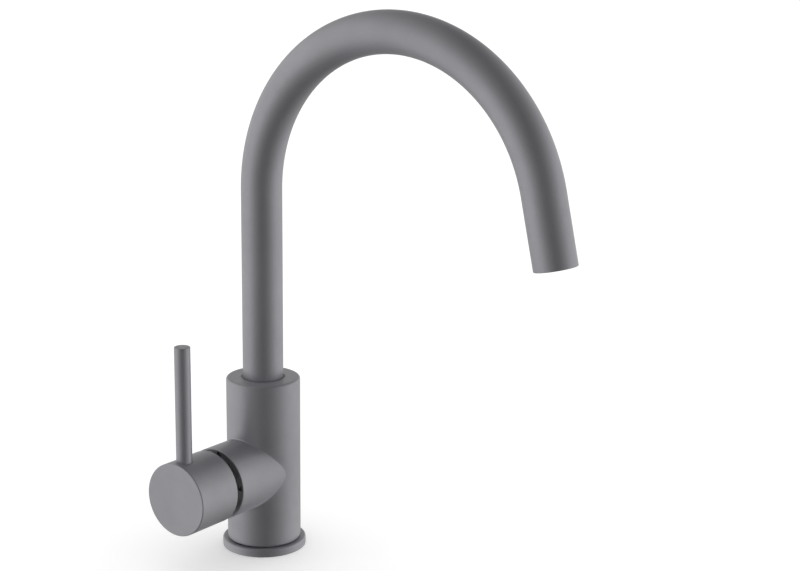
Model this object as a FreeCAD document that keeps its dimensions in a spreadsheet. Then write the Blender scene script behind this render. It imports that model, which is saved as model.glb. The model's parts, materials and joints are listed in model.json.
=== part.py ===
# Kitchen mixer tap with a swan neck spout and a pin lever on the side.
#
# Millimetres. The origin is the centre of the underside, on the deck. +Z is up, the spout
# points towards -Y at rest, and the lever's boss points towards -X.
# The pieces of the boss are drawn in a frame of their own: its Z runs out of the boss from the
# column's axis, its X points up and its origin is at the lever's height.

import FreeCAD, Part
import math
import os
import re
import Sketcher

V = FreeCAD.Vector

# Driving sizes, in millimetres and degrees
SIZES = {
    # deck ring and its seal
    "ring_radius": 25.0,
    "ring_height": 5.0,
    "ring_edge": 1.2,
    "spigot_radius": 18.2,
    "seal_radius": 20.2,
    "seal_width": 2.6,
    "seal_height": 1.4,
    # column of the body
    "body_radius": 22.0,
    "body_top": 105.4,
    "body_edge": 1.5,
    "foot_edge": 0.7,
    # boss for the cartridge
    "lever_height": 49.5,
    "boss_radius": 21.5,
    "boss_front": 42.4,
    "boss_edge": 0.4,
    "lip_wall": 1.2,
    "lip_depth": 3.0,
    "cartridge_depth": 17.5,
    # spout socket in the column
    "socket_depth": 41.4,
    "thrust_height": 2.0,
    "thrust_width": 3.8,
    "guide_wall": 1.0,
    "guide_height": 7.0,
    "guide_sink": 0.2,
    # swan neck
    "tube_radius": 12.0,
    "tube_wall": 1.5,
    "riser_top": 218.8,
    "arch_radius": 98.0,
    "arch_angle": 167.1,
    "tail_length": 39.3,
    # nipple at the foot of the neck
    "nipple_height": 15.0,
    "nipple_tongue": 14.0,
    "nipple_bore": 7.0,
    "collar_extra": 0.4,
    "oring_section": 1.8,
    "keeper_depth": 1.4,
    "keeper_width": 3.0,
    "keeper_radius": 2.5,
    "keeper_sink": 1.5,
    "tip_radius": 1.2,
    # aerator in the outlet
    "bush_length": 18.0,
    "bush_wall": 0.9,
    "bush_seat": 2.0,
    "bush_sink": 0.5,
    "washer_height": 1.6,
    "washer_width": 1.5,
    "shell_wall": 1.1,
    "shell_lip": 1.2,
    "core_height": 5.6,
    "core_hole": 0.8,
    "core_pitch": 2.35,
    "screen_height": 0.4,
    "screen_hole": 0.5,
    "screen_pitch": 1.55,
    "coin_slot": 2.4,
    # water ways and threads in the underside
    "inlet_radius": 4.5,
    "inlet_depth": 12.0,
    "inlet_spread": 7.5,
    "inlet_forward": 5.0,
    "stud_radius": 3.4,
    "stud_depth": 15.0,
    "stud_back": 10.0,
    "riser_duct": 3.2,
    "outlet_duct": 4.0,
    "outlet_back": 3.0,
    "port_radius": 2.6,
    "port_spread": 5.5,
    "port_up": 4.5,
    "drain_radius": 3.0,
    "drain_down": 5.0,
    # cartridge
    "cartridge_radius": 17.5,
    "nut_length": 4.0,
    "nut_slot": 3.0,
    "thread_depth": 1.4,
    "base_flange": 2.0,
    "base_height": 7.5,
    "base_step": 1.7,
    "peg_radius": 2.0,
    "peg_length": 2.5,
    "peg_spread": 11.0,
    "peg_down": 9.0,
    "seal_section": 1.5,
    "disc_thickness": 3.5,
    "slide_radius": 11.0,
    "slide_rest": 1.6,
    "chamber_up": 3.0,
    "chamber_down": 6.3,
    "chamber_half": 7.2,
    "chamber_depth": 2.0,
    "neck_bore": 13.6,
    "neck_wall": 1.0,
    "carrier_plate": 1.4,
    "carrier_height": 4.5,
    "block_half": 6.0,
    "block_reach": 6.5,
    "key_radius": 1.0,
    "key_length": 1.2,
    "key_spread": 8.6,
    "rotor_web": 1.9,
    "rotor_radius": 8.95,
    "rotor_above": 6.4,
    "roof_thickness": 1.5,
    "slot_down": 6.5,
    "slot_up": 5.2,
    "ball_radius": 2.2,
    "ball_rise": 3.0,
    "ball_arm": 9.5,
    "shank_radius": 1.7,
    "stem_half": 3.5,
    "stem_below": 2.5,
    "pin_radius": 1.5,
    "pin_short": 0.6,
    "cover_wall": 0.9,
    "dome_radius": 13.5,
    "dome_mouth": 9.2,
    # lever
    "knob_radius": 21.5,
    "knob_gap": 4.5,
    "knob_length": 29.5,
    "knob_wall": 2.3,
    "knob_step": 4.0,
    "knob_edge": 0.6,
    "face_wall": 3.5,
    "rod_radius": 4.6,
    "rod_height": 89.3,
    "rod_setback": 7.9,
    "rod_sink": 1.2,
    "rod_edge": 0.4,
    "rod_stud": 2.5,
    "rod_stud_length": 8.3,
    "grub_setback": 6.7,
    "grub_radius": 2.5,
    "grub_length": 6.5,
    "grub_socket": 1.25,
    "plug_radius": 2.5,
    "plug_height": 1.8,
    # clearances
    "running_gap": 0.05,
    "slip_gap": 0.1,
    "loose_gap": 0.3,
    "dome_gap": 0.5,
}

# Places along the boss, worked out from the sizes and counted from the column's axis
SEAT = "(boss_front - cartridge_depth)"
NUT_FRONT = "(boss_front - lip_depth)"
SHOULDER = f"({NUT_FRONT} - nut_length)"
BASE_TOP = f"({SEAT} + base_height)"
SLIDE_FLOOR = f"({BASE_TOP} + disc_thickness + running_gap)"
CARRIER_FLOOR = f"({SLIDE_FLOOR} + disc_thickness)"
CARRIER_TOP = f"({CARRIER_FLOOR} + carrier_height)"
FLANGE_FLOOR = f"({CARRIER_FLOOR} + carrier_plate + loose_gap)"
CHANNEL_TOP = f"({CARRIER_TOP} + loose_gap)"
FLANGE_TOP = f"({CHANNEL_TOP} + rotor_web)"
ROOF_FLOOR = f"({FLANGE_TOP} + slip_gap)"
ROOF_TOP = f"({ROOF_FLOOR} + roof_thickness)"
BALL = f"({CARRIER_FLOOR} + ball_rise)"
PIVOT = f"({BALL} + ball_arm)"
ROTOR_TOP = f"({PIVOT} + rotor_above)"
KNOB_BACK = "(boss_front + knob_gap)"
KNOB_STEP = f"({PIVOT} + knob_step)"
KNOB_FACE = f"({KNOB_BACK} + knob_length)"
STEM_END = f"({KNOB_FACE} - face_wall)"
ROD = f"({KNOB_FACE} - rod_setback)"
GRUB = f"({KNOB_FACE} - grub_setback)"

# Radii around the boss
THREAD = "(boss_radius - lip_wall - thread_depth)"
NECK_OUTER = "(neck_bore + neck_wall)"
ROD_SEAT = "(knob_radius - rod_sink)"

# Heights in the column and the foot of the neck
SOCKET_FLOOR = "(body_top - socket_depth)"
NIPPLE_FOOT = f"({SOCKET_FLOOR} + thrust_height)"
TUBE_FOOT = f"({NIPPLE_FOOT} + nipple_height)"
GUIDE_TOP = "(body_top - guide_sink)"
COLLAR = "(tube_radius + collar_extra)"
SOCKET = f"({COLLAR} + slip_gap)"
ORING_GROOVE = f"({SOCKET} - oring_section - slip_gap)"
KEEPER_GROOVE = f"({COLLAR} - keeper_depth)"
KEEPER = "(nipple_height - keeper_width * 1.2)"
TUBE_BORE = "(tube_radius - tube_wall)"

doc = FreeCAD.newDocument("KitchenTap")
sheet = doc.addObject("Spreadsheet::Sheet", "Sizes")
for row, (alias, number) in enumerate(SIZES.items(), start=1):
    sheet.set(f"A{row}", alias)
    sheet.set(f"B{row}", str(number))
    sheet.setAlias(f"B{row}", alias)
doc.recompute()

PARTS = []


def bound(text):
    """Turn the plain names of the sizes into references to the sheet."""
    return re.sub(r"[a-z]+(?:_[a-z]+)+", lambda word: "Sizes." + word.group(), text)


def bind(thing, place, text):
    thing.setExpression(place, bound(text))


def value(text):
    """Number that an expression of sizes gives now."""
    return float(sheet.evalExpression(bound(text)))


def place_at(thing, x="0", y="0", z="0"):
    for axis, text in zip("xyz", (x, y, z)):
        if text != "0":
            bind(thing, f"Placement.Base.{axis}", text)


UP = FreeCAD.Rotation()
OUT_OF_BOSS = FreeCAD.Rotation(V(0, 1, 0), -90)
TO_BACK = FreeCAD.Rotation(V(1, 0, 0), -90)
TO_TOP = FreeCAD.Rotation(V(0, 1, 0), 90)


def new_body(label, x="0", y="0", z="0", turn=UP):
    body = doc.addObject("PartDesign::Body", label)
    body.Placement = FreeCAD.Placement(V(), turn)
    place_at(body, x, y, z)
    PARTS.append(body)
    return body


def boss_body(label):
    """Body whose Z runs out of the boss and whose X points up."""
    return new_body(label, z="lever_height", turn=OUT_OF_BOSS)


def new_sketch(body, role, name):
    sketch = body.newObject("Sketcher::SketchObject", name)
    plane = [item for item in body.Origin.OriginFeatures if item.Role == role][0]
    sketch.AttachmentSupport = [(plane, "")]
    sketch.MapMode = "FlatFace"
    return sketch


def fix_point(sketch, line, end, x, y):
    """Hold one end of a line at two bound coordinates, or on an axis where one is 0."""
    for kind, text, axis in (("DistanceX", x, -2), ("DistanceY", y, -1)):
        if text == "0":
            sketch.addConstraint(Sketcher.Constraint("PointOnObject", line, end, axis))
            continue
        number = sketch.addConstraint(Sketcher.Constraint(kind, -1, 1, line, end, value(text)))
        bind(sketch, f"Constraints[{number}]", text)


def closed_outline(sketch, corners):
    points = [V(value(x), value(y), 0) for x, y in corners]
    lines = []
    for start, end in zip(points, points[1:] + points[:1]):
        lines.append(sketch.addGeometry(Part.LineSegment(start, end), False))
    for line, after in zip(lines, lines[1:] + lines[:1]):
        sketch.addConstraint(Sketcher.Constraint("Coincident", line, 2, after, 1))
    for line, (x, y) in zip(lines, corners):
        fix_point(sketch, line, 1, x, y)


def turned(body, name, corners, cut=False):
    """Turn an outline of (radius, height) corners about the body's own Z axis."""
    sketch = new_sketch(body, "XZ_Plane", name + "_outline")
    closed_outline(sketch, corners)
    kind = "PartDesign::Groove" if cut else "PartDesign::Revolution"
    feature = body.newObject(kind, name)
    feature.Profile = sketch
    feature.ReferenceAxis = (sketch, ["V_Axis"])
    feature.Angle = 360
    doc.recompute()
    return feature


def ring_corners(inner, outer, low, high):
    return [(inner, low), (outer, low), (outer, high), (inner, high)]


def solid(body, name, kind, sizes, x="0", y="0", z="0", turn=UP):
    """Add or cut a bound primitive, such as a SubtractiveCylinder."""
    feature = body.newObject("PartDesign::" + kind, name)
    feature.Placement = FreeCAD.Placement(V(), turn)
    for key, text in sizes.items():
        bind(feature, key, text)
    place_at(feature, x, y, z)
    doc.recompute()
    return feature


def drill(body, name, radius, length, x="0", y="0", z="0", turn=UP):
    return solid(body, name, "SubtractiveCylinder", {"Radius": radius, "Height": length}, x, y, z, turn)


def peg(body, name, radius, length, x="0", y="0", z="0", turn=UP):
    return solid(body, name, "AdditiveCylinder", {"Radius": radius, "Height": length}, x, y, z, turn)


def slot(body, name, low, high):
    """Cut the box between two corners, each given as three expressions."""
    spans = [f"({b}) - ({a})" for a, b in zip(low, high)]
    sizes = dict(zip(("Length", "Width", "Height"), spans))
    return solid(body, name, "SubtractiveBox", sizes, *[f"({a})" for a in low])


def block(body, name, low, high):
    spans = [f"({b}) - ({a})" for a, b in zip(low, high)]
    sizes = dict(zip(("Length", "Width", "Height"), spans))
    return solid(body, name, "AdditiveBox", sizes, *[f"({a})" for a in low])


def soften(body, name, size, rims, kind="Fillet"):
    """Round or chamfer circular edges, each given by its radius and its centre."""
    base = body.Tip
    edges = []
    for radius, centre in rims:
        spot = V(*[value(text) for text in centre])
        for number, edge in enumerate(base.Shape.Edges, start=1):
            curve = edge.Curve
            if not isinstance(curve, Part.Circle):
                continue
            if abs(curve.Radius - value(radius)) < 1e-4 and (curve.Center - spot).Length < 1e-4:
                edges.append(f"Edge{number}")
    feature = body.newObject("PartDesign::" + kind, name)
    feature.Base = (base, edges)
    bind(feature, "Radius" if kind == "Fillet" else "Size", size)
    doc.recompute()
    return feature


def hole_grid(body, name, radius, pitch, rings, top):
    """Cut a honeycomb of round holes down through a disc from its top face."""
    sketch = new_sketch(body, "XY_Plane", name + "_circles")
    bind(sketch, "AttachmentOffset.Base.z", top)
    for across in range(-rings, rings + 1):
        for up in range(max(-rings, -rings - across), min(rings, rings - across) + 1):
            x = f"{across + up / 2} * {pitch}"
            y = f"{up} * {pitch} * sqrt(3) / 2"
            centre = V(value(x), value(y), 0)
            circle = sketch.addGeometry(Part.Circle(centre, V(0, 0, 1), value(radius)), False)
            fix_point(sketch, circle, 3, "0" if across + up / 2 == 0 else x, "0" if up == 0 else y)
            number = sketch.addConstraint(Sketcher.Constraint("Radius", circle, value(radius)))
            bind(sketch, f"Constraints[{number}]", radius)
    cut = body.newObject("PartDesign::Pocket", name)
    cut.Profile = sketch
    cut.Type = "ThroughAll"
    doc.recompute()
    return cut


def o_rings(label, section, places, turn=UP, height="0"):
    """Group of round rubber rings as a single sub-part, one at each place and radius."""
    links = []
    for number, (x, y, z, radius) in enumerate(places, start=1):
        ring = doc.addObject("Part::Torus", f"{label}_{number}")
        bind(ring, "Radius1", radius)
        bind(ring, "Radius2", section)
        place_at(ring, x, y, z)
        links.append(ring)
    group = doc.addObject("Part::Compound", label)
    group.Links = links
    group.Placement = FreeCAD.Placement(V(), turn)
    place_at(group, z=height)
    PARTS.append(group)
    return group


# Body, deck ring and seal


def make_body_casting():
    body = new_body("body_casting")
    turned(body, "Column", [
        ("0", "0"),
        ("spigot_radius", "0"),
        ("spigot_radius", "ring_height"),
        ("body_radius", "ring_height"),
        ("body_radius", "body_top"),
        ("0", "body_top"),
    ])
    soften(body, "TopEdge", "body_edge", [("body_radius", ("0", "0", "body_top"))])
    soften(body, "FootEdge", "foot_edge", [("body_radius", ("0", "0", "ring_height"))], "Chamfer")
    peg(body, "Boss", "boss_radius", "boss_front", z="lever_height", turn=OUT_OF_BOSS)
    soften(body, "BossEdge", "boss_edge", [("boss_radius", ("-boss_front", "0", "lever_height"))])
    turned(body, "SpoutSocket", [
        ("0", SOCKET_FLOOR),
        (SOCKET, SOCKET_FLOOR),
        (SOCKET, f"{GUIDE_TOP} - guide_height"),
        ("tube_radius + guide_wall + slip_gap", f"{GUIDE_TOP} - guide_height"),
        ("tube_radius + guide_wall + slip_gap", "body_top"),
        ("0", "body_top"),
    ], cut=True)
    for name, radius, start, end in (
        ("CartridgeBore", "cartridge_radius + slip_gap", SEAT, "boss_front"),
        ("NutThread", THREAD, SHOULDER, "boss_front"),
        ("LipRecess", "boss_radius - lip_wall", NUT_FRONT, "boss_front"),
    ):
        drill(body, name, radius, f"{end} - {start}", f"-{start}", "0", "lever_height", OUT_OF_BOSS)
    for side, name in (("", "Back"), ("-", "Front")):
        across = f"{side}inlet_spread"
        port = f"{side}port_spread"
        drill(body, name + "Inlet", "inlet_radius", "inlet_depth", "-inlet_forward", across)
        drill(body, name + "Riser", "riser_duct", "lever_height + port_up", "-inlet_forward", across)
        drill(body, name + "Port", "port_radius", f"{SEAT} - inlet_forward", "-inlet_forward", port,
              "lever_height + port_up", OUT_OF_BOSS)
        drill(body, name + "Locator", "peg_radius + running_gap", "peg_length + loose_gap",
              f"-{SEAT} + peg_length + loose_gap", f"{side}peg_spread", "lever_height - peg_down",
              OUT_OF_BOSS)
    drill(body, "Drain", "drain_radius", f"{SEAT} + outlet_back", "outlet_back", "0",
          "lever_height - drain_down", OUT_OF_BOSS)
    drill(body, "SpoutFeed", "outlet_duct", f"{SOCKET_FLOOR} - lever_height + drain_down", "outlet_back",
          "0", "lever_height - drain_down")
    drill(body, "StudHole", "stud_radius", "stud_depth", "stud_back")
    drill(body, "KeeperHole", "keeper_radius + running_gap", "body_radius", "0", "0",
          f"{NIPPLE_FOOT} + {KEEPER}", TO_BACK)


def make_base_ring():
    body = new_body("base_ring")
    turned(body, "Ring", ring_corners("spigot_radius + loose_gap", "ring_radius", "0", "ring_height"))
    soften(body, "RimEdge", "ring_edge", [("ring_radius", ("0", "0", "ring_height"))])
    turned(body, "SealGroove", ring_corners(
        "seal_radius - slip_gap", "seal_radius + seal_width + slip_gap", "0", "seal_height"), cut=True)


def make_base_seal():
    body = new_body("base_seal")
    turned(body, "Seal", ring_corners("seal_radius", "seal_radius + seal_width", "0", "seal_height"))


# Swan neck, its nipple and bearings


def make_spout_tube():
    body = new_body("spout_tube")
    path = new_sketch(body, "YZ_Plane", "NeckPath")
    foot = value(TUBE_FOOT)
    riser = value("riser_top")
    radius = value("arch_radius")
    angle = math.radians(value("arch_angle"))
    tail = value("tail_length")
    bend_end = V(radius * (math.cos(angle) - 1), riser + radius * math.sin(angle), 0)
    outlet = bend_end + V(-math.sin(angle), math.cos(angle), 0) * tail
    upright = path.addGeometry(Part.LineSegment(V(0, foot, 0), V(0, riser, 0)), False)
    arch = path.addGeometry(
        Part.ArcOfCircle(Part.Circle(V(-radius, riser, 0), V(0, 0, 1), radius), 0, angle), False)
    drop = path.addGeometry(Part.LineSegment(bend_end, outlet), False)
    fix_point(path, upright, 1, "0", TUBE_FOOT)
    fix_point(path, upright, 2, "0", "riser_top")
    path.addConstraint(Sketcher.Constraint("Tangent", upright, 2, arch, 1))
    path.addConstraint(Sketcher.Constraint("Tangent", arch, 2, drop, 1))
    bends = path.addConstraint(Sketcher.Constraint("Radius", arch, radius))
    bind(path, f"Constraints[{bends}]", "arch_radius")
    reach = path.addConstraint(Sketcher.Constraint("DistanceX", -1, 1, arch, 2, bend_end.x))
    bind(path, f"Constraints[{reach}]", "arch_radius * (cos(arch_angle * 1 deg) - 1)")
    length = path.addConstraint(Sketcher.Constraint("Distance", drop, tail))
    bind(path, f"Constraints[{length}]", "tail_length")
    section = new_sketch(body, "XY_Plane", "NeckSection")
    bind(section, "AttachmentOffset.Base.z", TUBE_FOOT)
    for size in ("tube_radius", TUBE_BORE):
        circle = section.addGeometry(Part.Circle(V(), V(0, 0, 1), value(size)), False)
        section.addConstraint(Sketcher.Constraint("Coincident", circle, 3, -1, 1))
        number = section.addConstraint(Sketcher.Constraint("Radius", circle, value(size)))
        bind(section, f"Constraints[{number}]", size)
    doc.recompute()
    neck = body.newObject("PartDesign::AdditivePipe", "Neck")
    neck.Profile = section
    neck.Spine = (path, ["Edge1", "Edge2", "Edge3"])
    doc.recompute()


def make_spout_nipple():
    body = new_body("spout_nipple", z=NIPPLE_FOOT)
    tongue = f"{TUBE_BORE} - running_gap"
    turned(body, "Nipple", [
        ("nipple_bore", "0"),
        (COLLAR, "0"),
        (COLLAR, "nipple_height"),
        (tongue, "nipple_height"),
        (tongue, "nipple_height + nipple_tongue"),
        ("nipple_bore", "nipple_height + nipple_tongue"),
    ])
    for number in (1, 2):
        low = oring_low(number)
        turned(body, f"RingGroove{number}", ring_corners(
            ORING_GROOVE, f"{COLLAR} + 1", low, f"{low} + oring_section + loose_gap"), cut=True)
    turned(body, "KeeperGroove", ring_corners(
        KEEPER_GROOVE, f"{COLLAR} + 1", f"{KEEPER} - keeper_width / 2", f"{KEEPER} + keeper_width / 2"),
        cut=True)


def oring_low(number):
    """Height of a ring groove's floor above the nipple's foot: one near the foot, one above it."""
    return f"(oring_section * {1 + 2.2 * (number - 1)})"


def make_spout_o_rings():
    middle = f"({ORING_GROOVE} + {SOCKET}) / 2"
    section = f"({SOCKET} - {ORING_GROOVE}) / 2 - running_gap"
    places = []
    for number in (1, 2):
        places.append(("0", "0", f"{oring_low(number)} + (oring_section + loose_gap) / 2", middle))
    o_rings("spout_o_rings", section, places, height=NIPPLE_FOOT)


def make_spout_bearings():
    guide = new_body("spout_guide_ring", z=GUIDE_TOP)
    turned(guide, "Guide", ring_corners(
        "tube_radius + running_gap", "tube_radius + guide_wall", "-guide_height", "0"))
    thrust = new_body("spout_thrust_ring", z=SOCKET_FLOOR)
    outer = f"{SOCKET} - slip_gap"
    turned(thrust, "Thrust", ring_corners(f"{outer} - thrust_width", outer, "0", "thrust_height"))


def make_spout_keeper_screw():
    """Headless screw from the back whose tip runs in the nipple's groove."""
    body = new_body("spout_keeper_screw", z=f"{NIPPLE_FOOT} + {KEEPER}", turn=TO_BACK)
    tip = f"{KEEPER_GROOVE} + loose_gap"
    shank = f"{SOCKET} + loose_gap"
    end = "body_radius - keeper_sink"
    turned(body, "Screw", [
        ("0", tip),
        ("tip_radius", tip),
        ("tip_radius", shank),
        ("keeper_radius", shank),
        ("keeper_radius", end),
        ("0", end),
    ])
    solid(body, "HexSocket", "SubtractivePrism",
          {"Circumradius": "keeper_radius * 0.58", "Height": "keeper_radius"},
          z=f"{end} - keeper_radius").Polygon = 6


# Aerator, in a frame at the outlet whose Z points the way the water leaves


def outlet_body(label):
    body = new_body(label)
    drop = "arch_angle * 1 deg"
    bind(body, "Placement.Base.y", f"arch_radius * (cos({drop}) - 1) - tail_length * sin({drop})")
    bind(body, "Placement.Base.z", f"riser_top + arch_radius * sin({drop}) + tail_length * cos({drop})")
    body.Placement.Rotation = FreeCAD.Rotation(V(1, 0, 0), value("arch_angle"))
    bind(body, "Placement.Rotation.Angle", drop)
    return body


BUSH_OUTER = f"({TUBE_BORE} - running_gap)"
BUSH_BORE = f"({BUSH_OUTER} - bush_wall)"
WASHER_TOP = "(-bush_length + bush_seat)"
SHELL_TOP = f"({WASHER_TOP} + washer_height)"
SHELL_OUTER = f"({BUSH_BORE} - running_gap)"
SHELL_BORE = f"({SHELL_OUTER} - shell_wall)"
SHELL_MOUTH = "(-bush_sink - bush_wall)"
CORE_MOUTH = f"({SHELL_MOUTH} - shell_lip)"
CORE_TOP = f"({CORE_MOUTH} - core_height)"


def make_outlet_bush():
    body = outlet_body("outlet_bush")
    seat = f"{BUSH_BORE} - washer_width"
    turned(body, "Bush", [
        (seat, "-bush_length"),
        (BUSH_OUTER, "-bush_length"),
        (BUSH_OUTER, "-bush_sink"),
        (BUSH_BORE, "-bush_sink"),
        (BUSH_BORE, WASHER_TOP),
        (seat, WASHER_TOP),
    ])


def make_aerator():
    washer = outlet_body("aerator_washer")
    turned(washer, "Washer", ring_corners(
        f"{BUSH_BORE} - washer_width", f"{BUSH_BORE} - slip_gap", WASHER_TOP, SHELL_TOP))
    shell = outlet_body("aerator_shell")
    mouth = f"{SHELL_BORE} - shell_wall * 0.7"
    turned(shell, "Shell", [
        (SHELL_BORE, SHELL_TOP),
        (SHELL_OUTER, SHELL_TOP),
        (SHELL_OUTER, SHELL_MOUTH),
        (mouth, SHELL_MOUTH),
        (mouth, CORE_MOUTH),
        (SHELL_BORE, CORE_MOUTH),
    ])
    half = "coin_slot / 2"
    slot(shell, "CoinSlot", ("-tube_radius", f"-{half}", f"{SHELL_MOUTH} - shell_lip / 2"),
         ("tube_radius", half, "0 * coin_slot"))
    core = outlet_body("aerator_core")
    disc = f"{SHELL_BORE} - running_gap"
    turned(core, "Core", [("0", CORE_TOP), (disc, CORE_TOP), (disc, CORE_MOUTH), ("0", CORE_MOUTH)])
    hole_grid(core, "StreamHoles", "core_hole", "core_pitch", 3, CORE_MOUTH)
    screen = outlet_body("aerator_screen")
    back = f"{CORE_TOP} - screen_height"
    turned(screen, "Screen", [("0", back), (disc, back), (disc, CORE_TOP), ("0", CORE_TOP)])
    hole_grid(screen, "Mesh", "screen_hole", "screen_pitch", 4, CORE_TOP)


# Cartridge, in the boss's frame


def port_places():
    return (("port_up", "port_spread", "port_radius"), ("port_up", "-port_spread", "port_radius"),
            ("-drain_down", "0", "drain_radius"))


def make_cartridge_base():
    body = boss_body("cartridge_base")
    step = "cartridge_radius - base_step"
    turned(body, "Base", [
        ("0", SEAT),
        ("cartridge_radius", SEAT),
        ("cartridge_radius", f"{SEAT} + base_flange"),
        (step, f"{SEAT} + base_flange"),
        (step, BASE_TOP),
        ("0", BASE_TOP),
    ])
    for number, side in enumerate(("", "-"), start=1):
        peg(body, f"Locator{number}", "peg_radius", "peg_length + base_flange / 2", "-peg_down",
            f"{side}peg_spread", f"{SEAT} - peg_length")
    for number, (x, y, radius) in enumerate(port_places(), start=1):
        drill(body, f"Port{number}", radius, "base_height", x, y, SEAT)
        drill(body, f"SealSeat{number}", f"{radius} + seal_section + slip_gap * 2", "seal_section", x, y,
              SEAT)


def make_cartridge_seals():
    places = []
    for x, y, radius in port_places():
        places.append((x, y, f"{SEAT} + seal_section / 2", f"{radius} + slip_gap + seal_section / 2"))
    o_rings("cartridge_seals", "seal_section / 2", places, OUT_OF_BOSS, "lever_height")


def make_fixed_ceramic_disc():
    body = boss_body("fixed_ceramic_disc")
    rim = "neck_bore - slip_gap"
    top = f"{BASE_TOP} + disc_thickness"
    turned(body, "Disc", [("0", BASE_TOP), (rim, BASE_TOP), (rim, top), ("0", top)])
    for number, (x, y, radius) in enumerate(port_places(), start=1):
        drill(body, f"Port{number}", radius, "disc_thickness", x, y, BASE_TOP)


def make_moving_ceramic_disc():
    body = boss_body("moving_ceramic_disc")
    peg(body, "Disc", "slide_radius", "disc_thickness", "-slide_rest", "0", SLIDE_FLOOR)
    slot(body, "Chamber", ("-slide_rest - chamber_down", "-chamber_half", SLIDE_FLOOR),
         ("-slide_rest + chamber_up", "chamber_half", f"{SLIDE_FLOOR} + chamber_depth"))
    for number, side in enumerate(("", "-"), start=1):
        drill(body, f"KeyHole{number}", "key_radius + running_gap", "key_length + slip_gap", "-slide_rest",
              f"{side}key_spread", f"{CARRIER_FLOOR} - key_length - slip_gap")


def make_disc_carrier():
    body = boss_body("disc_carrier")
    peg(body, "Plate", "slide_radius", "carrier_plate", "-slide_rest", "0", CARRIER_FLOOR)
    block(body, "Block", ("-block_reach", "-block_half", CARRIER_FLOOR),
          ("block_reach", "block_half", CARRIER_TOP))
    for number, side in enumerate(("", "-"), start=1):
        peg(body, f"Key{number}", "key_radius", "key_length + carrier_plate / 2", "-slide_rest",
            f"{side}key_spread", f"{CARRIER_FLOOR} - key_length")
    play = "ball_radius + slip_gap * 1.5"
    slot(body, "BallPocket", (f"-({play})", f"-({play})", f"{BALL} - ball_radius - loose_gap"),
         (play, play, CARRIER_TOP))


def make_cartridge_rotor():
    body = boss_body("cartridge_rotor")
    flange = "neck_bore - slip_gap"
    turned(body, "Tower", [
        ("0", FLANGE_FLOOR),
        (flange, FLANGE_FLOOR),
        (flange, FLANGE_TOP),
        ("rotor_radius", FLANGE_TOP),
        ("rotor_radius", ROTOR_TOP),
        ("0", ROTOR_TOP),
    ])
    wide = "block_half + slip_gap"
    slot(body, "Channel", ("-neck_bore", f"-({wide})", FLANGE_FLOOR), ("neck_bore", wide, CHANNEL_TOP))
    narrow = "stem_half + slip_gap"
    slot(body, "StemSlot", ("-slot_down", f"-({narrow})", FLANGE_FLOOR), ("slot_up", narrow, ROTOR_TOP))
    drill(body, "PinHole", "pin_radius", "rotor_radius * 2", "0", "-rotor_radius", PIVOT, TO_BACK)


def make_pivot_pin():
    body = boss_body("pivot_pin")
    reach = "(rotor_radius - pin_short)"
    peg(body, "Pin", "pin_radius - running_gap / 2", f"2 * {reach}", "0", f"-{reach}", PIVOT, TO_BACK)


def make_cartridge_housing():
    body = boss_body("cartridge_housing")
    skirt = f"{SEAT} + base_flange"
    turned(body, "Housing", [
        ("cartridge_radius - base_step + running_gap", skirt),
        ("cartridge_radius", skirt),
        ("cartridge_radius", SHOULDER),
        (NECK_OUTER, SHOULDER),
        (NECK_OUTER, ROOF_TOP),
        ("rotor_radius + running_gap", ROOF_TOP),
        ("rotor_radius + running_gap", ROOF_FLOOR),
        ("neck_bore", ROOF_FLOOR),
        ("neck_bore", BASE_TOP),
        ("cartridge_radius - base_step + running_gap", BASE_TOP),
    ])


def make_cartridge_nut():
    body = boss_body("cartridge_nut")
    outer = f"{THREAD} - running_gap"
    turned(body, "Nut", ring_corners(f"{NECK_OUTER} + slip_gap", outer, SHOULDER, NUT_FRONT))
    half = "nut_slot / 2"
    floor = f"{NUT_FRONT} - nut_length / 3"
    slot(body, "SlotUpright", ("-boss_radius", f"-{half}", floor), ("boss_radius", half, NUT_FRONT))
    slot(body, "SlotLevel", (f"-{half}", "-boss_radius", floor), (half, "boss_radius", NUT_FRONT))


def make_cartridge_cover():
    """Thin cap over the cartridge's head, round about the lever's pivot."""
    body = boss_body("cartridge_cover")
    inner = f"{NECK_OUTER} + slip_gap"
    outer = f"{inner} + cover_wall"
    roof = f"{ROOF_TOP} + slip_gap"
    turned(body, "Skirt", [
        ("0", NUT_FRONT),
        (outer, NUT_FRONT),
        (outer, f"{roof} + cover_wall"),
        ("0", f"{roof} + cover_wall"),
    ])
    solid(body, "Dome", "AdditiveSphere", {"Radius": "dome_radius"}, z=PIVOT)
    drill(body, "Inside", inner, f"{roof} - {SHOULDER}", z=SHOULDER)
    solid(body, "DomeInside", "SubtractiveSphere", {"Radius": "dome_radius - cover_wall"}, z=PIVOT)
    drill(body, "Mouth", "dome_mouth", "dome_radius", z=f"{PIVOT} + dome_radius / 4")


# Lever: stem, knob, rod and its screw


def make_lever_stem():
    body = boss_body("lever_stem")
    half = "stem_half"
    block(body, "Square", (f"-{half}", f"-{half}", f"{PIVOT} - stem_below"), (half, half, STEM_END))
    peg(body, "Shank", "shank_radius", "ball_arm - stem_below", z=BALL)
    solid(body, "Ball", "AdditiveSphere", {"Radius": "ball_radius"}, z=BALL)
    drill(body, "PinBore", "pin_radius + running_gap", "stem_half * 2", "0", "-stem_half", PIVOT, TO_BACK)


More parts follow.
